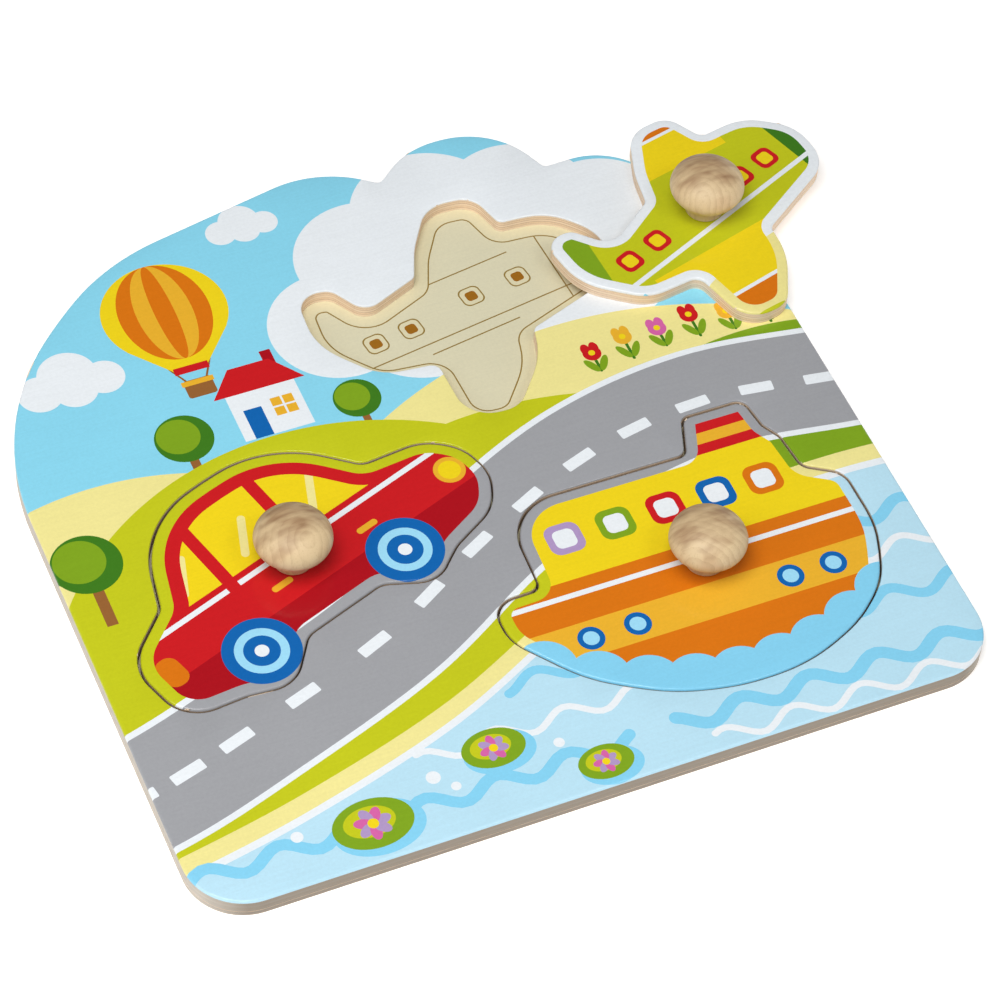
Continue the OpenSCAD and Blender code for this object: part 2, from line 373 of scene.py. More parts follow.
def soften(mesh, outline, height, width):
    """Rounds the edge of a slab that follows an outline at a height."""
    places = {(round(p.x, 3), round(p.y, 3)) for p in outline}

    def follows(vert):
        spot = vert.co / MM
        return abs(spot.z - height) < 1e-3 and (round(spot.x, 3), round(spot.y, 3)) in places

    edges = [e for e in mesh.edges if all(follows(v) for v in e.verts) and e.calc_face_angle(0) > 1]
    bmesh.ops.bevel(
        mesh, geom=edges, offset=width, offset_type="OFFSET", segments=4, profile=0.5,
        affect="EDGES", material=-1, clamp_overlap=False,
    )


# Printed sheets

Ink = namedtuple("Ink", "colour loop within", defaults=(None,))
HAIR = 0.01  # millimetres between a sheet and the plywood
ROLL_STEPS = 5


def apart(loop, other):
    """Whether the boxes round two outlines lie clear of each other."""
    low, high = Vector(map(min, *loop)), Vector(map(max, *loop))
    other_low, other_high = Vector(map(min, *other)), Vector(map(max, *other))
    return low.x > other_high.x or low.y > other_high.y or high.x < other_low.x or high.y < other_low.y


def stacked(outline, inks, loops):
    """Adds the inks' outlines to the loops, and lists each ink's place there, its limit's and its colour."""
    places = {}
    layers = []
    for ink in inks:
        if apart(ink.loop, outline):
            continue
        for loop in (ink.loop, ink.within):
            if loop and id(loop) not in places:
                places[id(loop)] = len(loops)
                loops.append(anticlockwise(loop))
        layers.append((places[id(ink.loop)], places.get(id(ink.within)), ink.colour))
    return layers


def sheet(outline, windows, inks, low, thick, roll, rim=0.0):
    """A printed sheet cut along every ink's outline and rolled over the plywood's edges.

    low is the face of the plywood and thick the sheet, in millimetres. roll is the radius of the plywood's
    outer edge, and rim that of its openings. Later inks lie over earlier ones.
    """
    edges = [(outline, roll), *((window, -rim) for window in windows)]
    loops = [inset(loop, math.copysign(HAIR, radius)) if radius else loop for loop, radius in edges]
    blanks = range(1, len(loops))
    bends = [1 - math.cos(math.pi / 2 * k / ROLL_STEPS) for k in range(1, ROLL_STEPS + 1)]
    loops += [inset(loop, radius * bend) for loop, radius in edges if radius for bend in bends]
    layers = stacked(outline, inks, loops)
    points = []
    areas = []
    for loop in loops:
        areas.append(list(range(len(points), len(points) + len(loop))))
        points += [Vector(point) for point in loop]
    spots, _, triangles, _, _, owners = delaunay_2d_cdt(points, [], areas, 1, 1e-5, True)

    swatches = bpy.context.scene.puzzle_inks
    mesh = bmesh.new()
    tint = mesh.loops.layers.float_color.new("ink")
    verts = [mesh.verts.new((spot.x * MM, spot.y * MM, 0)) for spot in spots]
    for triangle, owner in zip(triangles, owners):
        owner = set(owner)
        if 0 not in owner or owner.intersection(blanks):
            continue
        shown = [
            name for place, within, name in layers if place in owner and (within is None or within in owner)
        ]
        face = mesh.faces.new([verts[k] for k in triangle])
        for corner in face.loops:
            corner[tint] = (*getattr(swatches, shown[-1]), 1)
    bmesh.ops.delete(mesh, geom=[v for v in mesh.verts if not v.link_faces], context="VERTS")
    lay(mesh, raise_copy(mesh), edges, low, thick)
    for face in mesh.faces:
        if len(face.verts) == 4:
            for corner in face.loops:
                corner[tint] = (*swatches.paper, 1)
    return mesh


def lay(mesh, upper_verts, edges, low, thick):
    """Gives a flat sheet its thickness, and rolls it down along each edge by that edge's radius."""
    mesh.verts.index_update()
    upper = np.zeros(len(mesh.verts), bool)
    upper[[vert.index for vert in upper_verts]] = True
    heights = np.where(upper, thick, HAIR)
    for loop, radius in edges:
        radius = abs(radius)
        if radius:
            depth = np.clip(distances([v.co.to_2d() / MM for v in mesh.verts], loop) / radius, 0, 1)
            arch = np.sqrt(1 - (1 - depth) ** 2)
            rolled = np.where(upper, (radius + thick) * arch, radius * arch + HAIR) - radius
            heights = np.minimum(heights, rolled)
    for vert, height in zip(mesh.verts, heights):
        vert.co.z = (low + height) * MM


# Finishes

class Finish:
    """A material with short calls to add its nodes."""

    def __init__(self, name):
        self.material = bpy.data.materials.new(name)
        self.material.use_nodes = True
        self.tree = self.material.node_tree
        self.shader = self.tree.nodes["Principled BSDF"]
        self.place = self.tree.nodes.new("ShaderNodeTexCoord").outputs["Object"]

    def node(self, kind, sockets, **settings):
        """Adds a node, with its settings and its sockets, each linked or set."""
        node = self.tree.nodes.new("ShaderNode" + kind)
        for key, value in settings.items():
            setattr(node, key, value)
        for key, value in sockets.items():
            self.feed(node.inputs[key], value)
        return node

    def feed(self, socket, value):
        """Links a socket to a value that varies, or sets it to a fixed one."""
        if isinstance(value, bpy.types.NodeSocket):
            self.tree.links.new(value, socket)
        else:
            socket.default_value = value

    def maths(self, operation, first, second=0.0, third=0.0):
        """One sum."""
        return self.node("Math", {0: first, 1: second, 2: third}, operation=operation).outputs[0]

    def times(self, first, second):
        """A product."""
        return self.maths("MULTIPLY", first, second)

    def plus(self, first, second):
        """A sum of two values."""
        return self.maths("ADD", first, second)

    def parts(self, vector):
        """The x, y and z of a vector."""
        return self.node("SeparateXYZ", {0: vector}).outputs

    def facing(self):
        """The x, y and z of the way that the surface faces."""
        return self.parts(self.node("NewGeometry", {}).outputs["Normal"])

    def mark(self, name):
        """An attribute of the piece's own mesh."""
        return self.node("Attribute", {}, attribute_name=name).outputs

    def mapped(self, scale, location=(0, 0, 0)):
        """The object's coordinates, moved and scaled."""
        return self.node("Mapping", {"Vector": self.place, "Location": location, "Scale": scale}).outputs[0]

    def noise(self, place, scale=1.0, detail=3.0, roughness=0.5):
        """Soft noise from 0 to 1."""
        sockets = {"Vector": place, "Scale": scale, "Detail": detail, "Roughness": roughness}
        return self.node("TexNoise", sockets).outputs[0]

    def grain(self, fineness, detail=3.0, roughness=0.5):
        """Noise drawn out along the axes where its fineness is low."""
        return self.noise(self.mapped(fineness), detail=detail, roughness=roughness)

    def between(self, value, low, high, to_low=0.0, to_high=1.0):
        """A value carried from one range to another, and held there."""
        sockets = {0: value, 1: low, 2: high, 3: to_low, 4: to_high}
        return self.node("MapRange", sockets).outputs[0]

    def swing(self, noise, to_low, to_high):
        """Noise carried to another range from the one where most of it lies."""
        return self.between(noise, 0.3, 0.7, to_low, to_high)

    def mix(self, share, first, second, blend="MIX"):
        """Two colours mixed."""
        node = self.node("Mix", {0: share}, data_type="RGBA", blend_type=blend)
        for socket, value in ((node.inputs[6], first), (node.inputs[7], second)):
            self.feed(socket, value if isinstance(value, bpy.types.NodeSocket) else (*value, 1))
        return node.outputs[2]

    def bump(self, height, depth):
        """Fine relief, with its depth in metres."""
        node = self.node("Bump", {"Height": height, "Distance": depth, "Strength": 1.0})
        self.feed(self.shader.inputs["Normal"], node.outputs[0])

    def surface(self, **sockets):
        """Sets or links the shader's own sockets."""
        for key, value in sockets.items():
            self.feed(self.shader.inputs[key.replace("_", " ")], value)
        return self.material


def print_finish(name):
    """Ink on paper under a satin lacquer: faint mottle, and the plywood's grain just showing through."""
    finish = Finish(name)
    mottle = finish.noise(finish.place, scale=900.0, detail=4.0, roughness=0.6)
    drift = finish.noise(finish.place, scale=28.0, detail=2.0)
    grain = finish.grain((60.0, 1500.0, 60.0))
    shade = finish.plus(finish.swing(mottle, -0.03, 0.03), finish.swing(grain, 0.97, 1.0))
    shade = finish.plus(shade, finish.swing(drift, -0.015, 0.015))
    tone = finish.node("CombineColor", {0: shade, 1: shade, 2: shade}).outputs[0]
    finish.bump(finish.plus(mottle, finish.times(grain, 1.5)), depth=0.000012)
    return finish.surface(
        Base_Color=finish.mix(1.0, finish.mark("ink")["Color"], tone, "MULTIPLY"),
        Roughness=finish.swing(mottle, 0.36, 0.44),
        Specular_IOR_Level=0.12,
        Coat_Weight=0.5,
        Coat_Roughness=0.12,
    )


def ply_finish(name, base, layer, seams, edged=False):
    """Plywood: crossed layers with dark seams on the walls, and long grain on the faces.

    base is the height where the layers start and layer the thickness of one, both in metres. seams is how
    dark the glue lines show. An edged board has darker outer walls, marked by its own attribute, with painted
    shade on the front and back walls and a painted lighter tone on the sides. A wall that faces another one
    across a narrow gap gets painted shade from ambient occlusion.
    """
    wood = bpy.context.scene.puzzle_wood
    veneer, core = wood.veneer, wood.core
    finish = Finish(name)
    facing = finish.facing()
    if edged:
        outside = finish.mark("outside")["Fac"]
        # Painted light and shade on the outer walls: the sides lighter, the front and back darker
        lit_side_share = finish.between(finish.maths("ABSOLUTE", facing[0]), 0.3, 0.9)
        outer_wall_light_and_shade = finish.mix(lit_side_share, wood.edge, wood.lit_side_edge)
        veneer = finish.mix(outside, veneer, outer_wall_light_and_shade)
        core = finish.mix(outside, core, finish.mix(1.0, outer_wall_light_and_shade, (0.9, 0.88, 0.85), "MULTIPLY"))
        seams = finish.between(outside, 0.0, 1.0, seams, 0.1)

    rise = finish.maths("SUBTRACT", finish.parts(finish.place)[2], base)
    waver = finish.between(finish.noise(finish.place, scale=55.0), 0.25, 0.75, -0.14, 0.14)
    level = finish.plus(finish.maths("DIVIDE", rise, layer), waver)
    within = finish.maths("FRACT", level)
    seam = finish.maths("MINIMUM", within, finish.maths("SUBTRACT", 1.0, within))
    crossed = finish.maths("MODULO", finish.maths("FLOOR", finish.plus(level, 10.0)), 2.0)
    streak = finish.grain((90.0, 90.0, 5200.0), detail=4.0, roughness=0.6)
    pores = finish.grain((2400.0, 2400.0, 700.0), detail=2.0)
    patch = finish.grain((36.0, 36.0, 900.0), detail=2.0)
    long_grain = finish.mix(finish.between(streak, 0.35, 0.7, 0.0, 0.6), veneer, core)
    end_grain = finish.mix(finish.between(pores, 0.45, 0.8, 0.0, 0.3), core, wood.glue)
    wall = finish.mix(finish.times(crossed, 0.6), long_grain, end_grain)
    patchy = finish.between(patch, 0.3, 0.6, 0.25, 1.0)
    seam_share = finish.times(finish.between(seam, 0.03, 0.1, 1.0, 0.0), patchy)
    wall = finish.mix(finish.times(seam_share, seams), wall, wood.glue)
    # Painted shade: ambient occlusion darkens a wall that faces another one across a narrow gap
    openness = finish.node("AmbientOcclusion", {"Distance": 0.0025}, samples=8).outputs["AO"]
    wall = finish.mix(finish.between(openness, 0.12, 0.5, 0.75, 0.0), wall, wood.painted_gap_shade)

    figure = finish.grain((9.0, 240.0, 9.0), detail=5.0, roughness=0.62)
    fibre = finish.grain((120.0, 2600.0, 120.0))
    face = finish.mix(finish.between(figure, 0.35, 0.68, 0.0, 0.7), veneer, core)
    face = finish.mix(finish.between(fibre, 0.55, 0.8, 0.0, 0.35), face, wood.glue)
    flat = finish.between(finish.maths("ABSOLUTE", facing[2]), 0.75, 0.9)
    finish.bump(finish.plus(streak, pores), depth=0.00003)
    return finish.surface(
        Base_Color=finish.mix(flat, wall, face),
        Roughness=finish.swing(streak, 0.52, 0.68),
        Specular_IOR_Level=0.35,
    )


def beech_finish(name, pith, lean):
    """Turned beech: growth rings about a pith near the knob, soft stains, dark end grain on top with painted
    shade on the back, and short pores.
    """
    wood = bpy.context.scene.puzzle_wood
    finish = Finish(name)
    from_pith = finish.mapped((1, 1, 1), tuple(-x for x in pith))

    def leaning(*scale):
        return finish.node("Mapping", {"Vector": from_pith, "Rotation": lean, "Scale": scale}).outputs[0]

    wave = {"Vector": leaning(1, 1, 1), "Scale": 120.0, "Distortion": 6.0, "Detail": 3.0, "Detail Scale": 0.8}
    rings = finish.node(
        "TexWave", wave, wave_type="RINGS", rings_direction="Z", wave_profile="SAW",
    ).outputs[0]
    stain = finish.noise(leaning(90, 160, 80), detail=2.0)
    streak = finish.noise(leaning(50, 330, 90), roughness=0.55)
    pores = finish.noise(leaning(1900, 1900, 420), detail=2.0)
    facing = finish.facing()
    # Facing up gives the real dark end grain, facing back adds painted shade
    end_grain_and_back_shade = finish.maths("MULTIPLY_ADD", facing[1], 0.6, finish.times(facing[2], 0.8))
    crown = finish.between(finish.plus(end_grain_and_back_shade, finish.swing(stain, -0.35, 0.35)), 0.25, 1.0)
    crown = finish.times(crown, finish.between(streak, 0.35, 0.65, 0.4, 0.85))
    ringed = finish.times(finish.between(rings, 0.4, 1.0), finish.between(stain, 0.3, 0.6, 0.1, 0.4))
    tone = finish.mix(finish.between(stain, 0.45, 0.7, 0.0, 0.55), wood.beech, wood.flush)
    tone = finish.mix(ringed, tone, wood.ring)
    tone = finish.mix(crown, tone, wood.crown)
    tone = finish.mix(finish.between(pores, 0.56, 0.76, 0.0, 0.35), tone, wood.ring)
    finish.bump(finish.plus(pores, rings), depth=0.00002)
    return finish.surface(
        Base_Color=tone,
        Roughness=finish.between(rings, 0.0, 1.0, 0.44, 0.54),
        Specular_IOR_Level=0.4,
    )


def zinc_finish(name):
    """Zinc plate: fine turning marks and a soft metal gloss."""
    finish = Finish(name)
    marks = finish.grain((700.0, 700.0, 9000.0))
    tone = bpy.context.scene.puzzle_wood.zinc
    finish.bump(marks, depth=0.00001)
    return finish.surface(
        Base_Color=finish.mix(finish.swing(marks, 0.0, 0.5), tone, [0.7 * x for x in tone]),
        Metallic=1.0,
        Roughness=finish.swing(marks, 0.28, 0.42),
    )


def floor_finish(name):
    """A studio floor: matt, nearly white, and bright by itself."""
    stage = bpy.context.scene.puzzle_stage
    finish = Finish(name)
    soft = finish.noise(finish.place, scale=3.0, detail=2.0)
    tone = stage.floor
    return finish.surface(
        Base_Color=finish.mix(finish.swing(soft, 0.0, 0.03), tone, [0.9 * x for x in tone]),
        Roughness=0.9,
        Specular_IOR_Level=0.1,
        Emission_Color=(1, 1, 1, 1),
        Emission_Strength=stage.glow,
    )


# The picture on the tray, in millimetres from the tray's middle

OVERALL = 400  # covers the whole tray


def cloud(x, y, scale, lobes):
    """A white cloud of round lobes."""
    return [Ink("white", disc(x + scale * dx, y + scale * dy, scale * radius)) for dx, dy, radius in lobes]


def balloon(x, y, radius):
    """A striped balloon with its basket."""
    def at(across, up):
        return x + across * radius, y + up * radius

    bag = disc(x, y, radius)
    inks = [Ink("bark", bar(*at(0.5 * side, -0.8), *at(0.14 * side, -1.5), 0.8)) for side in (-1, 1)]
    inks.append(Ink("yellow", bag))
    inks.append(Ink("yellow", corners(at(-0.82, -0.58), at(-0.24, -1.25), at(0.24, -1.25), at(0.82, -0.58))))
    for width, tone in ((0.72, "orange"), (0.44, "amber"), (0.16, "orange")):
        inks.append(Ink(tone, disc(x, y, radius, width), bag))
    inks.append(Ink("red", block(*at(0, -1.22), 0.56 * radius, 0.14 * radius)))
    inks.append(Ink("bark", block(*at(0, -1.62), 0.46 * radius, 0.36 * radius, 0, 1.2)))
    inks.append(Ink("amber", block(*at(0, -1.5), 0.52 * radius, 0.1 * radius)))
    return inks


def tree(x, y, radius):
    """A round tree on a straight trunk."""
    return [
        Ink("bark", block(x, y - 1.45 * radius, 0.32 * radius, 1.5 * radius)),
        Ink("forest", disc(x, y, radius)),
        Ink("green", disc(x - 0.16 * radius, y + 0.14 * radius, 0.74 * radius)),
    ]


def house(x, y, width):
    """A small house with a pitched roof."""
    def at(across, up):
        return x + across * width, y + up * width

    def part(across, up, wide, high):
        return block(*at(across, up), wide * width, high * width)

    return [
        Ink("crimson", part(0.3, 0.82, 0.16, 0.4)),
        Ink("white", part(0, 0, 1, 0.84)),
        Ink("red", corners(at(-0.66, 0.4), at(0.66, 0.4), at(0.3, 0.86), at(-0.3, 0.86))),
        Ink("blue", part(-0.22, -0.16, 0.26, 0.52)),
        Ink("amber", part(0.22, 0.02, 0.32, 0.32)),
        Ink("white", part(0.22, 0.02, 0.03, 0.32)),
        Ink("white", part(0.22, 0.02, 0.32, 0.03)),
    ]


def tulip(x, y, height, tone):
    """A flower with two leaves."""
    return [
        Ink("forest", bar(x, y, x, y + height, 1.2)),
        Ink("green", disc(x - 2.4, y + 0.36 * height, 1.5, 2.6, 120)),
        Ink("green", disc(x + 2.4, y + 0.36 * height, 1.5, 2.6, 60)),
        Ink(tone, disc(x, y + height, 3.6)),
        Ink(tone, disc(x - 1.7, y + height + 2.4, 1.8, 1.5, 90)),
        Ink(tone, disc(x + 1.7, y + height + 2.4, 1.8, 1.5, 90)),
        Ink("yellow", disc(x, y + height + 0.2, 1.3)),
    ]


def lily(x, y, radius, turn):
    """A floating leaf with a flower."""
    petals = 7
    reach = 0.34 * radius
    inks = [
        Ink("wave", disc(x + 1.5, y - 2.2, 1.1 * radius, 1.5)),
        Ink("green", disc(x, y, radius, 1.45)),
        Ink("lime", disc(x - 0.1 * radius, y + 0.1 * radius, 0.62 * radius, 1.5)),
    ]
    for k in range(petals):
        way = math.radians(turn + 360 / petals * k)
        middle = x + reach * math.cos(way), y + reach * math.sin(way)
        inks.append(Ink("pink" if k % 2 else "lilac", disc(*middle, 0.2 * radius, 1.7, math.degrees(way))))
    inks.append(Ink("yellow", disc(x, y, 0.2 * radius)))
    return inks


def sky():
    """The sky with its clouds and the balloon."""
    bank = ((-1.0, -0.1, 0.42), (-0.62, 0.34, 0.46), (-0.12, 0.56, 0.5), (0.44, 0.46, 0.48), (0.9, 0.2, 0.44),
            (-0.5, -0.2, 0.5), (0.1, -0.16, 0.6), (0.62, -0.2, 0.5), (1.1, -0.18, 0.32))
    small = ((-0.7, 0, 0.5), (0, 0.3, 0.66), (0.74, 0, 0.46), (0.05, -0.12, 0.5))
    return [
        Ink("sky", block(0, 0, OVERALL, OVERALL)),
        *cloud(48, 82, 62, bank),
        *cloud(-116, 82, 17, small),
        *cloud(-30, 134, 12, small),
        *balloon(-72, 104, 24),
    ]


def hills():
    """Far and near hills, with trees and a house between them."""
    return [
        Ink("pale", disc(-125, -78, 112)),
        Ink("pale", disc(64, -118, 165)),
        *tree(-86, 44, 11),
        *tree(-20, 40, 9),
        *house(-52, 46, 27),
        Ink("lime", disc(-55, -84, 118)),
        Ink("lime", disc(22, -124, 142)),
        Ink("green", disc(128, -92, 112)),
    ]


def road():
    """A winding road with white edges and dashes, and what grows beside it."""
    route = curve((
        (-190, -104), (-150, -98), (-110, -86), (-50, -64), (0, -36),
        (50, -14), (100, -6), (150, -12), (190, -18),
    ))
    width = 45
    kerb = 2.5
    inks = [Ink("white", ribbon(route, width + 2 * kerb)), Ink("road", ribbon(route, width))]
    for k in range(4, len(route) - 4, 5):
        ahead = route[k + 1] - route[k - 1]
        turn = math.degrees(math.atan2(ahead.y, ahead.x))
        inks.append(Ink("white", block(route[k].x, route[k].y, 13, 4.6, turn, 0.6)))
    for k, x in enumerate(range(70, 141, 14)):
        inks += tulip(x, 24 - 0.1 * abs(x - 105), 9 + 2 * (k % 2), ("red", "amber", "pink")[k % 3])
    return inks + tree(-138, 2, 13)


def swell(x0, x1, y, phase):
    """Points along a wavy line."""
    steps = 60
    height = 3.2
    length = 4.2
    reach = x1 - x0
    return [
        (x0 + reach * s / steps, y + height * math.sin(s * reach / steps / length + phase))
        for s in range(steps + 1)
    ]


def bay():
    """The beach, the water, its waves and the lilies."""
    far = 190
    deep = -200
    shore = curve((
        (-far, -132), (-150, -126), (-100, -116), (-40, -98), (20, -70), (80, -50), (130, -46), (far, -50),
    ))
    inks = []
    for tone, drop in (("pale", 0), ("white", 7), ("water", 10)):
        edge = [point - Vector((0, drop)) for point in shore]
        inks.append(Ink(tone, [*edge[::-1], Vector((-far, deep)), Vector((far, deep))]))
    waves = (
        (-150, 12, -136, "wave", 4.5), (-60, 90, -118, "white", 2.6), (30, 160, -136, "wave", 5),
        (100, 170, -76, "wave", 4.5), (96, 170, -92, "white", 2.8), (-20, 60, -100, "wave", 3.6),
        (90, 170, -112, "wave", 4.2), (40, 170, -146, "white", 2.6),
    )
    for k, (x0, x1, y, tone, width) in enumerate(waves):
        line = swell(x0, x1, y, k)
        inks.append(Ink(tone, ribbon(line, width)))
        inks += [Ink(tone, disc(*end, width / 2)) for end in (line[0], line[-1])]
    inks += lily(-84, -136, 10, 10) + lily(-34, -122, 8, 40) + lily(0, -141, 7, 25)
    for x, y, radius in ((-58, -126, 2.6), (-52, -132, 1.8), (-110, -132, 2.2), (-12, -128, 2.0)):
        inks.append(Ink("white", disc(x, y, radius)))
    return inks


def tray_picture():
    """Sky, hills, a winding road and a bay."""
    return sky() + hills() + road() + bay()


# The prints of the pieces, in millimetres from each piece's knob

ACROSS = 200  # longer than any piece


def car_picture(outline):
    """A small red car, as wide as its piece allows."""
    body = inset(outline, 4.6)
    glass = inset(outline, 10)
    inks = [
        Ink("red", body),
        Ink("crimson", block(0, -36, ACROSS, 44), body),
        Ink("white", block(0, 4.4, ACROSS, 2.2), body),
        Ink("yellow", block(0, 34, ACROSS, 52), glass),
    ]
    inks += [Ink("red", block(x, 30, 5, 60, -4), body) for x in (-22, 10)]
    inks += [Ink("pale", bar(x - 3, 13, x + 6, 26, 3), glass) for x in (-36, -8, 24)]
    inks += [Ink("amber", block(x, -6, 9, 2.6, 0, 1.2)) for x in (-10, 30)]
    for x, y in ((-34.4, -23.2), (33.4, -22.6)):
        for tone, radius in (("blue", 14.3), ("ice", 9.8), ("blue", 6.6), ("white", 2.6)):
            inks.append(Ink(tone, disc(x, y, radius)))
    inks += [Ink("amber", disc(70, -6, 6), body), Ink("yellow", disc(70, -6, 4.2), body)]
    inks.append(Ink("orange", block(-64, -10, 9, 13, 0, 4), body))
    return inks


def boat_picture(outline):
    """A small steamer: hull, cabin and funnel, with foam at its foot."""
    side = inset(outline, 4.2)
    inks = [
        Ink("red", side),
        Ink("amber", block(0, 52, ACROSS, 5), side),
        Ink("yellow", block(0, 26, ACROSS, 38), side),
        Ink("orange", block(0, -41, ACROSS, 100), side),
        Ink("amber", block(0, -17, ACROSS, 15), side),
        Ink("white", block(0, 2.6, ACROSS, 2.2), side),
    ]
    for x, tone in ((-43, "lilac"), (-23, "green"), (-3, "red"), (17, "blue"), (36, "orange")):
        inks.append(Ink(tone, block(x, 27, 13.5, 13.5, 0, 4)))
        inks.append(Ink("white", block(x, 27, 8.2, 8.2, 0, 2.4)))
    for x in (-52, -34, 26, 43):
        inks += [Ink("blue", disc(x, -17, 5)), Ink("ice", disc(x, -17, 3))]
    for x in range(-72, 73, 16):
        inks.append(Ink("wave", disc(x, -50 + 0.0052 * x ** 2, 11.5)))
    return inks


def plane_picture(outline):
    """A small airliner: a body that climbs to the nose, two wings, tail and windows."""
    climb = 12.4
    skin = inset(outline, 4.2)
    inks = [
        Ink("lime", skin),
        Ink("green", block(-76, 0, 52, ACROSS, climb - 20), skin),
        Ink("forest", block(72, 10, 50, ACROSS, climb - 4), skin),
        Ink("white", block(0, -8.6, ACROSS, 2, climb), skin),
        Ink("yellow", block(4, 47, 46, 48, climb - 10), skin),
        Ink("yellow", block(-6, -42, 60, 48, climb - 8), skin),
        Ink("orange", block(4, 65, 60, 48, climb - 10), skin),
        Ink("orange", block(-6, -66, 70, 48, climb - 8), skin),
        Ink("white", block(4, 40.4, 60, 1.4, climb - 10), skin),
        Ink("white", block(-6, -41.4, 70, 1.6, climb - 8), skin),
    ]
    for x, y in ((-40, -7.5), (-25, -4.2), (22, 6.4), (36, 9.4)):
        inks.append(Ink("red", block(x, y, 9.4, 9.4, climb, 2.8)))
        inks.append(Ink("yellow", block(x, y, 5.6, 5.6, climb, 1.6)))
    return inks


def outline_drawing(outline, strokes, panes):
    """A fine line drawing on the floor of a recess: one contour, some strokes and some square panes."""
    fine = 0.55
    depth = 4.4
    contour = inset(outline, depth)
    inks = [Ink("line", contour), Ink("stone", inset(outline, depth + fine))]
    inks += [Ink("line", bar(*stroke, fine), contour) for stroke in strokes]
    for x, y, width, turn in panes:
        for tone, side in (("line", width), ("cream", width - 2 * fine), ("umber", 0.5 * width)):
            inks.append(Ink(tone, block(x, y, side, side, turn, 0.3 * side)))
    return inks


def moved(inks, x, y, turn):
    """Inks turned and moved, with shared outlines kept shared."""
    done = {}

    def place(loop):
        if loop is not None and id(loop) not in done:
            done[id(loop)] = (loop, turned(loop, x, y, turn))
        return loop if loop is None else done[id(loop)][1]

    return [Ink(ink.colour, place(ink.loop), place(ink.within)) for ink in inks]


# Places of the pieces, in millimetres and degrees

Seat = namedtuple("Seat", "x y turn")
PICTURES = {"plane": plane_picture, "car": car_picture, "boat": boat_picture}
RECESS = {"plane": Seat(38.7, 71.27, -3.8), "car": Seat(-69.3, -21.74, 20.0), "boat": Seat(68.4, -73.99, 0.0)}
# How each piece lies now: the plane is out of its recess
REST_TURN = {"plane": 11.0, "car": RECESS["car"].turn, "boat": RECESS["boat"].turn}
# Strokes from one point to another, then panes with their middle, width and turn
DRAWING = {
    "plane": (
        ((-60, -22, 60, 4.4), (-14, 14.5, 22, 22.4), (-21, -18.6, 16, -10.4), (41, -20, 34, 34)),
        ((-40, -7.5, 9, 12.4), (-25, -4.2, 9, 12.4), (2, 5, 9, 12.4), (22, 9.4, 9, 12.4)),
    ),
    "car": (
        ((-70, 5, 76, 5), (-20, 5, -20, 44), (8, 5, 8, 44)),
        ((-34.4, -23.2, 18, 0), (33.4, -22.6, 18, 0)),
    ),
    "boat": (
        ((-70, 9, 60, 9), (-60, 44, 50, 44), (-74, -24, 60, -24)),
        ((-43, 27, 11, 0), (-23, 27, 11, 0), (-3, 27, 11, 0), (17, 27, 11, 0)),
    ),
}


def knob_axis(piece):
    """Where the middle of a piece's knob stands, in millimetres."""
    low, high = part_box(f"{piece}_knob")
    return (low.x + high.x) / 2 / MM, (low.y + high.y) / 2 / MM


def levels(node):
    """Heights of a node's underside and top, in millimetres."""
    low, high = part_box(node)
    return low.z / MM, high.z / MM


def plate_outline(piece):
    """A plate's sanded outline where it lies."""
    node = f"{piece}_plate"
    sawn = level_outlines(node, levels(node)[0])[0]
    return finer(inset(sawn, bpy.context.scene.puzzle_wood.sanding / MM))


def own_outline(piece):
    """A plate's outline seen from its knob, before it is turned."""
    x, y = knob_axis(piece)
    return turned(turned(plate_outline(piece), -x, -y), 0, 0, -REST_TURN[piece])


# Operators

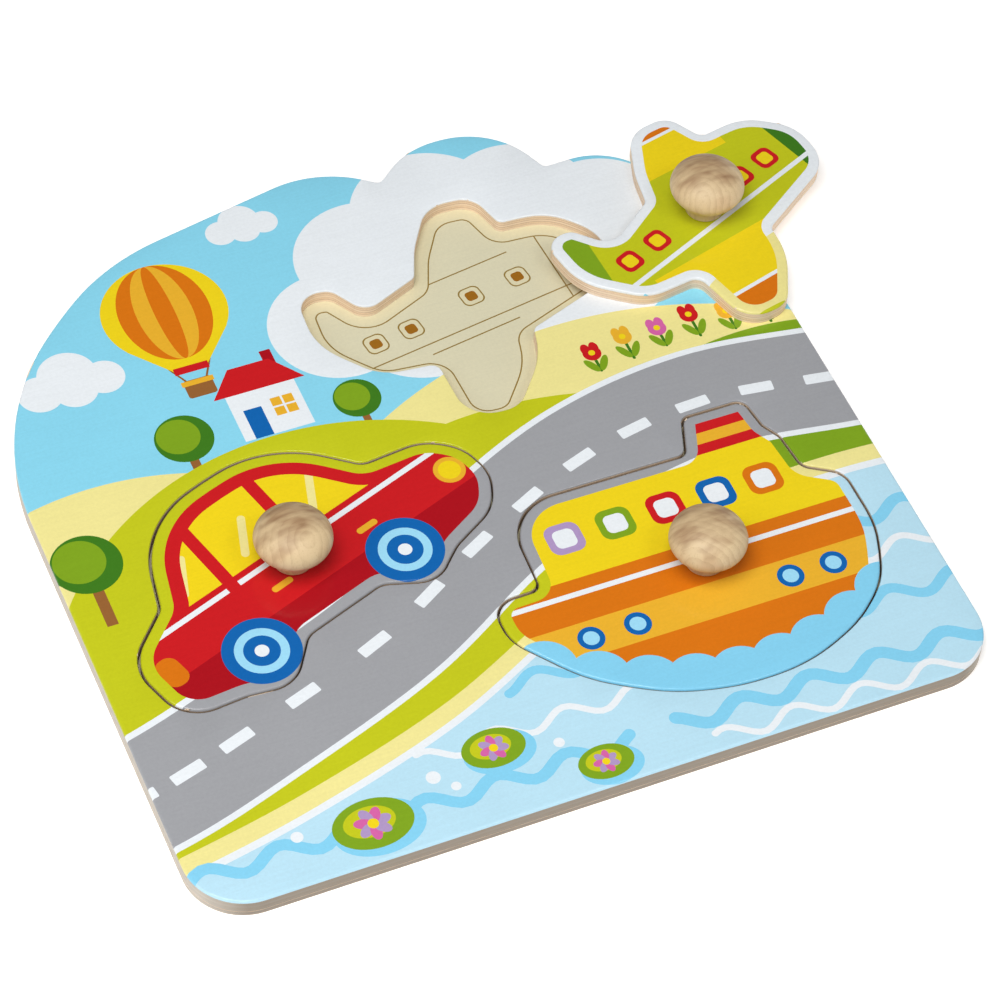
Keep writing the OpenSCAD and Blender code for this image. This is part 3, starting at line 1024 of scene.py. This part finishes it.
class PUZZLE_OT_stage(bpy.types.Operator):
    """Sets the floor, the lights and the camera."""

    bl_idname = "puzzle.stage"
    bl_label = "Stage"

    # Place and width of each light, in metres
    LIGHTS = {
        "key": ((-0.34, -0.3, 1.17), 0.7),
        "fill": ((-1.1, -0.25, 0.8), 0.5),
        "strip": ((0.35, -0.6, 1.0), 0.3),
        "card": ((1.15, 0.8, 0.3), 0.4),
    }

    def execute(self, context):
        stage = context.scene.puzzle_stage
        context.scene.view_settings.view_transform = "Standard"
        self.floor(context)
        for name, (place, width) in self.LIGHTS.items():
            self.lamp(context, f"{name}_light", place, width, getattr(stage, name))
        self.room(context, stage)
        self.camera(context, stage)
        return {"FINISHED"}

    def floor(self, context):
        """A wide floor, a hair under the tray."""
        mesh = bmesh.new()
        bmesh.ops.create_grid(mesh, x_segments=8, y_segments=8, size=6)
        bmesh.ops.translate(mesh, vec=(0, 0, -0.3 * MM), verts=mesh.verts)
        data = bpy.data.meshes.new("floor")
        mesh.to_mesh(data)
        mesh.free()
        data.materials.append(floor_finish("studio_floor"))
        floor = bpy.data.objects.new("floor", data)
        context.scene.collection.objects.link(floor)

    def lamp(self, context, name, place, width, watts):
        """One square soft light that faces the tray."""
        light = bpy.data.lights.new(name, "AREA")
        light.energy = watts
        light.size = width
        lamp = bpy.data.objects.new(name, light)
        context.scene.collection.objects.link(lamp)
        facing = Vector(place).to_track_quat("Z", "Y")
        lamp.matrix_world = Matrix.LocRotScale(Vector(place), facing, None)

    def room(self, context, stage):
        """Even light all round, dimmer behind the tray."""
        room = bpy.data.worlds.new("room")
        room.use_nodes = True
        nodes = room.node_tree.nodes
        link = room.node_tree.links.new
        shade = nodes["Background"]
        shade.inputs["Color"].default_value = (1, 1, 1, 1)
        parts = nodes.new("ShaderNodeSeparateXYZ")
        link(nodes.new("ShaderNodeTexCoord").outputs["Generated"], parts.inputs[0])
        fade = nodes.new("ShaderNodeMapRange")
        ends = {"From Min": -0.3, "From Max": 0.6, "To Min": stage.room, "To Max": stage.room * stage.dusk}
        for socket, value in ends.items():
            fade.inputs[socket].default_value = value
        link(parts.outputs["Y"], fade.inputs["Value"])
        link(fade.outputs[0], shade.inputs["Strength"])
        context.scene.world = room

    def camera(self, context, stage):
        """The camera at the photograph's viewing angle."""
        lens = bpy.data.cameras.new("camera")
        lens.lens = stage.lens
        lens.sensor_width = 36
        lens.clip_end = 20
        camera = bpy.data.objects.new("camera", lens)
        context.scene.collection.objects.link(camera)
        swing = Matrix.Rotation(stage.azimuth, 3, "Z")
        swing = swing @ Matrix.Rotation(math.pi / 2 - stage.elevation, 3, "X")
        swing = swing @ Matrix.Rotation(stage.roll, 3, "Z")
        place = Vector(stage.target) + swing.col[2] * stage.distance
        camera.matrix_world = Matrix.LocRotScale(place, swing, None)
        context.scene.camera = camera


class PUZZLE_OT_boards(bpy.types.Operator):
    """Builds the tray's back board and its pierced front board."""

    bl_idname = "puzzle.boards"
    bl_label = "Tray boards"

    def execute(self, context):
        wood = context.scene.puzzle_wood
        low, high = levels("back_board")
        edges = [finer(loop) for loop in level_outlines("back_board", low)]
        mesh = slab(edges, low, high)
        self.mark_outside(mesh, edges[0])
        finish = ply_finish("backing_ply", low * MM, wood.backing_layer, seams=0.5, edged=True)
        put("tray_back", mesh, finish, "tray", "backing", "back_board")

        low, high = levels("front_board")
        edges = [finer(loop) for loop in level_outlines("front_board", low)]
        mesh = slab(edges, low, high)
        soften(mesh, edges[0], high, wood.arris)
        for edge in edges[1:]:
            soften(mesh, edge, high, wood.rim)
        self.mark_outside(mesh, edges[0])
        finish = ply_finish("tray_ply", low * MM, wood.layer, seams=0.85, edged=True)
        put("tray_front", mesh, finish, "tray", "ply", "front_board")
        return {"FINISHED"}

    def mark_outside(self, mesh, outline):
        """Marks the faces of the outer wall, which take a darker tone with painted shade."""
        near = 1.5
        mark = mesh.faces.layers.float.new("outside")
        walls = [face for face in mesh.faces if abs(face.normal.z) < 0.95]
        middles = [face.calc_center_median().to_2d() / MM for face in walls]
        for face, reach in zip(walls, distances(middles, outline)):
            face[mark] = float(reach < near)


class PUZZLE_OT_tray_prints(bpy.types.Operator):
    """Lays the picture on the tray and the drawing on its recess floors."""

    bl_idname = "puzzle.tray_prints"
    bl_label = "Tray prints"

    def execute(self, context):
        wood = context.scene.puzzle_wood
        low, high = levels("board_facing")
        outline = finer(level_outlines("back_board", 0)[0])
        windows = [finer(loop) for loop in level_outlines("front_board", levels("front_board")[0])[1:]]
        mesh = sheet(outline, windows, tray_picture(), low, high - low, wood.arris / MM, wood.rim / MM)
        put("tray_print", mesh, print_finish("tray_print"), "tray", "board_print", "board_facing")

        low, high = levels("lining")
        outline = finer(level_outlines("lining", low)[0])
        inks = [Ink("cream", block(0, 0, OVERALL, OVERALL))]
        for piece in PIECES:
            inks += moved(outline_drawing(own_outline(piece), *DRAWING[piece]), *RECESS[piece])
        mesh = sheet(outline, [], inks, low, high - low, 0)
        put("tray_lining", mesh, print_finish("lining_print"), "tray", "lining_print", "lining")
        return {"FINISHED"}


class PUZZLE_OT_plates(bpy.types.Operator):
    """Builds the three plywood pieces with their screw holes."""

    bl_idname = "puzzle.plates"
    bl_label = "Piece plates"

    def execute(self, context):
        wood = context.scene.puzzle_wood
        for piece in PIECES:
            node = f"{piece}_plate"
            low, high = levels(node)
            hole = level_outlines(node, low)[1]
            edge = plate_outline(piece)
            mesh = slab([edge, hole], low, high)
            soften(mesh, edge, high, wood.arris)
            self.sink(mesh, piece, low * MM, wood.bore / 2)
            finish = ply_finish(f"{piece}_ply", low * MM, wood.layer, seams=0.85)
            put(f"{piece}_wood", mesh, finish, piece, "ply", node)
        return {"FINISHED"}

    def sink(self, mesh, piece, base, bore):
        """Narrows a screw hole to its bore above the countersink."""
        countersink = 1.7 * MM
        hole_reach = 4 * MM
        slack = 0.15 * MM
        x, y = knob_axis(piece)
        axis = Vector((x * MM, y * MM))
        deep = base + countersink
        everything = [*mesh.verts, *mesh.edges, *mesh.faces]
        bmesh.ops.bisect_plane(mesh, geom=everything, plane_co=(0, 0, deep), plane_no=(0, 0, 1))
        for vert in mesh.verts:
            reach = vert.co.to_2d() - axis
            if reach.length < hole_reach and vert.co.z > deep - 1e-6:
                vert.co.xy = axis + reach.normalized() * (bore + slack)


class PUZZLE_OT_piece_prints(bpy.types.Operator):
    """Lays the prints on the three pieces, with the tray's picture running on round them."""

    bl_idname = "puzzle.piece_prints"
    bl_label = "Piece prints"

    def execute(self, context):
        arris = context.scene.puzzle_wood.arris / MM
        for piece in PIECES:
            node = f"{piece}_facing"
            low, high = levels(node)
            seat = RECESS[piece]
            turn = REST_TURN[piece]
            ground = moved(moved(tray_picture(), -seat.x, -seat.y, 0), 0, 0, turn - seat.turn)
            own = moved(PICTURES[piece](own_outline(piece)), 0, 0, turn)
            inks = moved(ground + own, *knob_axis(piece), 0)
            hole = level_outlines(node, high)[1]
            mesh = sheet(plate_outline(piece), [hole], inks, low, high - low, arris)
            put(f"{piece}_print", mesh, print_finish(f"{piece}_print"), piece, f"{piece}_print", node)
        return {"FINISHED"}


class PUZZLE_OT_knobs(bpy.types.Operator):
    """Turns the three beech knobs."""

    bl_idname = "puzzle.knobs"
    bl_label = "Knobs"

    # Where the pith of each blank stands from the knob's axis, in metres, and how it leans, in radians
    PITHS = {
        "plane": ((-0.005, -0.012, 0), (0.10, 0.12, 0.3)),
        "car": ((0.001, -0.011, 0), (0.14, -0.06, 0.4)),
        "boat": ((-0.016, -0.020, 0), (-0.12, 0.10, 0.9)),
    }

    def execute(self, context):
        wood = context.scene.puzzle_wood
        for piece in PIECES:
            node = f"{piece}_knob"
            low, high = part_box(node)
            x, y = (value * MM for value in knob_axis(piece))
            mesh = bmesh.new()
            chain = [mesh.verts.new((x + r, y, low.z + z)) for r, z in self.profile(wood, low, high)]
            edges = [mesh.edges.new(pair) for pair in zip(chain, chain[1:])]
            bmesh.ops.spin(
                mesh, geom=chain + edges, cent=(x, y, 0), axis=(0, 0, 1), dvec=(0, 0, 0),
                angle=math.tau, steps=96, use_merge=True, use_duplicate=False)
            pith, lean = self.PITHS[piece]
            finish = beech_finish(f"{piece}_beech", (x + pith[0], y + pith[1], low.z), lean)
            put(f"{piece}_turned_knob", mesh, finish, piece, "knob_wood", node)
        return {"FINISHED"}

    def profile(self, wood, low, high):
        """Half section of a knob from the end of its bore to its crown: radius and height."""
        radius = (high.x - low.x) / 2
        height = high.z - low.z
        neck = wood.neck / 2
        rise = wood.neck_rise
        girth = wood.girth * height
        foot = wood.foot
        bore = wood.bore / 2
        bore_depth = 0.0094
        steps = 18
        quarter = [math.pi / 2 * k / steps for k in range(steps + 1)]
        points = [(0, bore_depth), (bore, bore_depth), (bore, 0)]
        points += [(neck - foot * (1 - math.sin(a)), foot * (1 - math.cos(a))) for a in quarter[::3]]
        for a in quarter:
            flare = (1 - math.cos(2 * a)) / 2
            points.append((neck + (radius - neck) * flare, rise + (girth - rise) * a / math.pi * 2))
        points += [(radius * math.cos(a), girth + (height - girth) * math.sin(a)) for a in quarter[1:-1]]
        return [*points, (0, height)]


class PUZZLE_OT_screws(bpy.types.Operator):
    """Plates the three knob screws with zinc."""

    bl_idname = "puzzle.screws"
    bl_label = "Screws"

    def execute(self, context):
        finish = zinc_finish("zinc_plate")
        for piece in PIECES:
            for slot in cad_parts[f"{piece}_screw"].material_slots:
                slot.material = finish
        return {"FINISHED"}


class PUZZLE_PT_panel(bpy.types.Panel):
    """Steps and settings of the puzzle."""

    bl_idname = "PUZZLE_PT_panel"
    bl_label = "Knob puzzle"
    bl_space_type = "VIEW_3D"
    bl_region_type = "UI"
    bl_category = "Puzzle"

    def draw(self, context):
        for step in STEPS:
            self.layout.operator(step.bl_idname)
        for name in GROUPS:
            group = getattr(context.scene, name)
            box = self.layout.box()
            for setting in group.__annotations__:
                box.prop(group, setting)


STEPS = (
    PUZZLE_OT_stage, PUZZLE_OT_boards, PUZZLE_OT_tray_prints, PUZZLE_OT_plates, PUZZLE_OT_piece_prints,
    PUZZLE_OT_knobs, PUZZLE_OT_screws,
)
GROUPS = {"puzzle_inks": PuzzleInks, "puzzle_wood": PuzzleWood, "puzzle_stage": PuzzleStage}


def register():
    for name, group in GROUPS.items():
        bpy.utils.register_class(group)
        setattr(bpy.types.Scene, name, bpy.props.PointerProperty(type=group))
    for cls in (*STEPS, PUZZLE_PT_panel):
        bpy.utils.register_class(cls)


def unregister():
    for cls in reversed((*STEPS, PUZZLE_PT_panel)):
        bpy.utils.unregister_class(cls)
    for name, group in GROUPS.items():
        delattr(bpy.types.Scene, name)
        bpy.utils.unregister_class(group)


def main():
    register()
    bpy.ops.puzzle.stage()
    bpy.ops.puzzle.boards()
    bpy.ops.puzzle.tray_prints()
    bpy.ops.puzzle.plates()
    bpy.ops.puzzle.piece_prints()
    bpy.ops.puzzle.knobs()
    bpy.ops.puzzle.screws()


if __name__ == "__main__":
    main()
